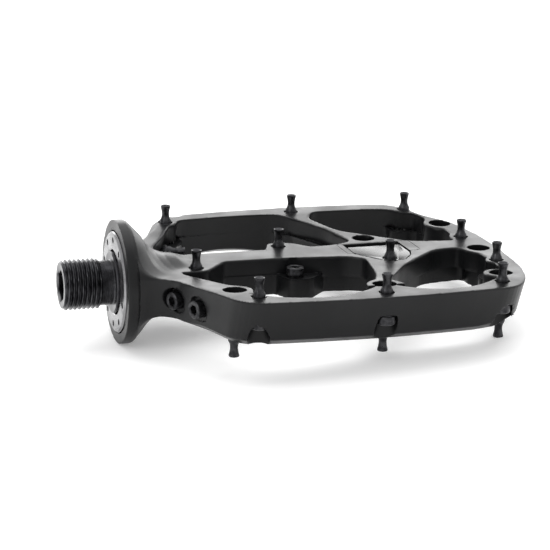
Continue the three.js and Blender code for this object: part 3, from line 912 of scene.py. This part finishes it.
FLOOR_HALF = 4.0
PAPER = (0.92, 0.92, 0.92, 1)
PAPER_GLOW = 0.22     # lifts the shadows, as paper lit through from behind does


def paper_material():
    """White paper that can be looked through from below."""
    paper = bpy.data.materials.new("paper")
    paper.use_nodes = True
    tree = paper.node_tree
    shader = tree.nodes["Principled BSDF"]
    shader.inputs["Base Color"].default_value = PAPER
    shader.inputs["Roughness"].default_value = 0.9
    shader.inputs["Specular IOR Level"].default_value = 0.1
    shader.inputs["Emission Color"].default_value = (1, 1, 1, 1)
    shader.inputs["Emission Strength"].default_value = PAPER_GLOW
    clear = tree.nodes.new("ShaderNodeBsdfTransparent")
    side = tree.nodes.new("ShaderNodeNewGeometry")
    mix = tree.nodes.new("ShaderNodeMixShader")
    tree.links.new(side.outputs["Backfacing"], mix.inputs[0])
    tree.links.new(shader.outputs[0], mix.inputs[1])
    tree.links.new(clear.outputs[0], mix.inputs[2])
    tree.links.new(mix.outputs[0], tree.nodes["Material Output"].inputs["Surface"])
    return paper


def make_floor():
    rim, normal = contact_plane()
    mesh = bpy.data.meshes.new("floor")
    corners = [(x * FLOOR_HALF, y * FLOOR_HALF, 0)
               for x, y in ((-1, -1), (1, -1), (1, 1), (-1, 1))]
    mesh.from_pydata(corners, [], [(0, 1, 2, 3)])
    turn = Vector((0, 0, 1)).rotation_difference(normal).to_matrix().to_4x4()
    floor = link("floor", mesh, Matrix.Translation(rim) @ turn)
    floor.data.materials.append(paper_material())


# Soft lights: place, the point it is aimed at, width and height in metres, and watts.
LIGHTS = {
    "overhead": ((0.05, 0.3, 0.9), (0, 0, 0.02), (1.4, 1.0), 7),
    "behind": ((0.2, 1.0, 0.3), (0, 0, 0.02), (1.4, 0.4), 4.5),
    "front_left": ((-0.75, -0.45, 0.45), (-0.02, 0, 0.02), (0.35, 0.6), 1.5),
}
TENT_STRENGTH = 0.9


def make_lights():
    for name, (place, target, size, power) in LIGHTS.items():
        data = bpy.data.lights.new(name, "AREA")
        data.shape, data.size, data.size_y = "RECTANGLE", *size
        data.energy = power
        light = bpy.data.objects.new(name, data)
        light.location = place
        light.rotation_mode = "QUATERNION"
        way = Vector(target) - Vector(place)
        light.rotation_quaternion = way.to_track_quat("-Z", "Y")
        bpy.context.scene.collection.objects.link(light)


def make_world():
    """A white tent round the pedal, which the camera sees as plain white."""
    world = bpy.data.worlds.new("studio")
    world.use_nodes = True
    bpy.context.scene.world = world
    tree = world.node_tree
    tent = tree.nodes["Background"]
    backdrop = tree.nodes.new("ShaderNodeBackground")
    for background, strength in ((tent, TENT_STRENGTH), (backdrop, 1.0)):
        background.inputs["Color"].default_value = (1, 1, 1, 1)
        background.inputs["Strength"].default_value = strength
    ray = tree.nodes.new("ShaderNodeLightPath")
    mix = tree.nodes.new("ShaderNodeMixShader")
    tree.links.new(ray.outputs["Is Camera Ray"], mix.inputs[0])
    tree.links.new(tent.outputs[0], mix.inputs[1])
    tree.links.new(backdrop.outputs[0], mix.inputs[2])
    tree.links.new(mix.outputs[0], tree.nodes["World Output"].inputs["Surface"])


# The photographing camera: its place in the part's own millimetres and its upward
# direction, aimed again at the middle of the pedal.
CAMERA_PLACE = (-117.4, -530.8, 151.9)
CAMERA_UP = (0.038, 0.183, 0.982)
CAMERA_AIM = (47.0, 0, -1.0)
CAMERA_LENS = 131.0


def make_camera():
    data = bpy.data.cameras.new("camera")
    data.lens = CAMERA_LENS
    camera = bpy.data.objects.new("camera", data)
    place, aim = to_row(*CAMERA_PLACE), to_row(*CAMERA_AIM)
    back = (place - aim).normalized()
    right = Vector(CAMERA_UP).cross(back).normalized()
    up = back.cross(right)
    camera.matrix_world = Matrix.Translation(place) @ Matrix(
        (right, up, back)).transposed().to_4x4()
    data.clip_start, data.clip_end = 0.01, 20
    bpy.context.scene.collection.objects.link(camera)
    bpy.context.scene.camera = camera


# ---- the pedal -------------------------------------------------------------------------------
def make_platform(finish):
    pins = []
    for name in PIN_NAMES:
        low, high = (in_part(corner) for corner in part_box(name))
        pins.append(((low.x + high.x) / 2, (low.y + high.y) / 2, name in BOSSED))
    platform = link("platform", body_mesh(Platform(pins, list(spare_frames().values()))))
    dress(platform, finish, "platform", "anodised_body", "pedal_body")


make_platform(anodised("anodised_body", (0.0035, 0.0036, 0.004), (0.007, 0.0072, 0.0078), 0.34,
                       engraved=True))
make_covers(anodised("anodised_cover", (0.002, 0.002, 0.0022), (0.004, 0.004, 0.0044), 0.22))
make_pins(black_oxide())
make_spindle(turned_steel("spindle_steel", (0.03, 0.03, 0.033), (0.075, 0.075, 0.08), 0.26))
BRIGHT = faced_steel("bright_steel", (0.17, 0.17, 0.175), (0.32, 0.32, 0.325), 0.26)
make_lock_ring(BRIGHT)
repaint(BRIGHT, "inboard_bearing_outer_race", "inboard_bearing_inner_race", "thrust_washer",
        "spindle_nut")
repaint(seal_rubber(), "spindle_seal", "inboard_bearing_shield_crank",
        "inboard_bearing_shield_body")
repaint(sintered_bronze(), "inboard_bearing_cage", "outboard_bush")

make_floor()
make_world()
make_lights()
make_camera()
bpy.context.scene.view_settings.view_transform = "Standard"
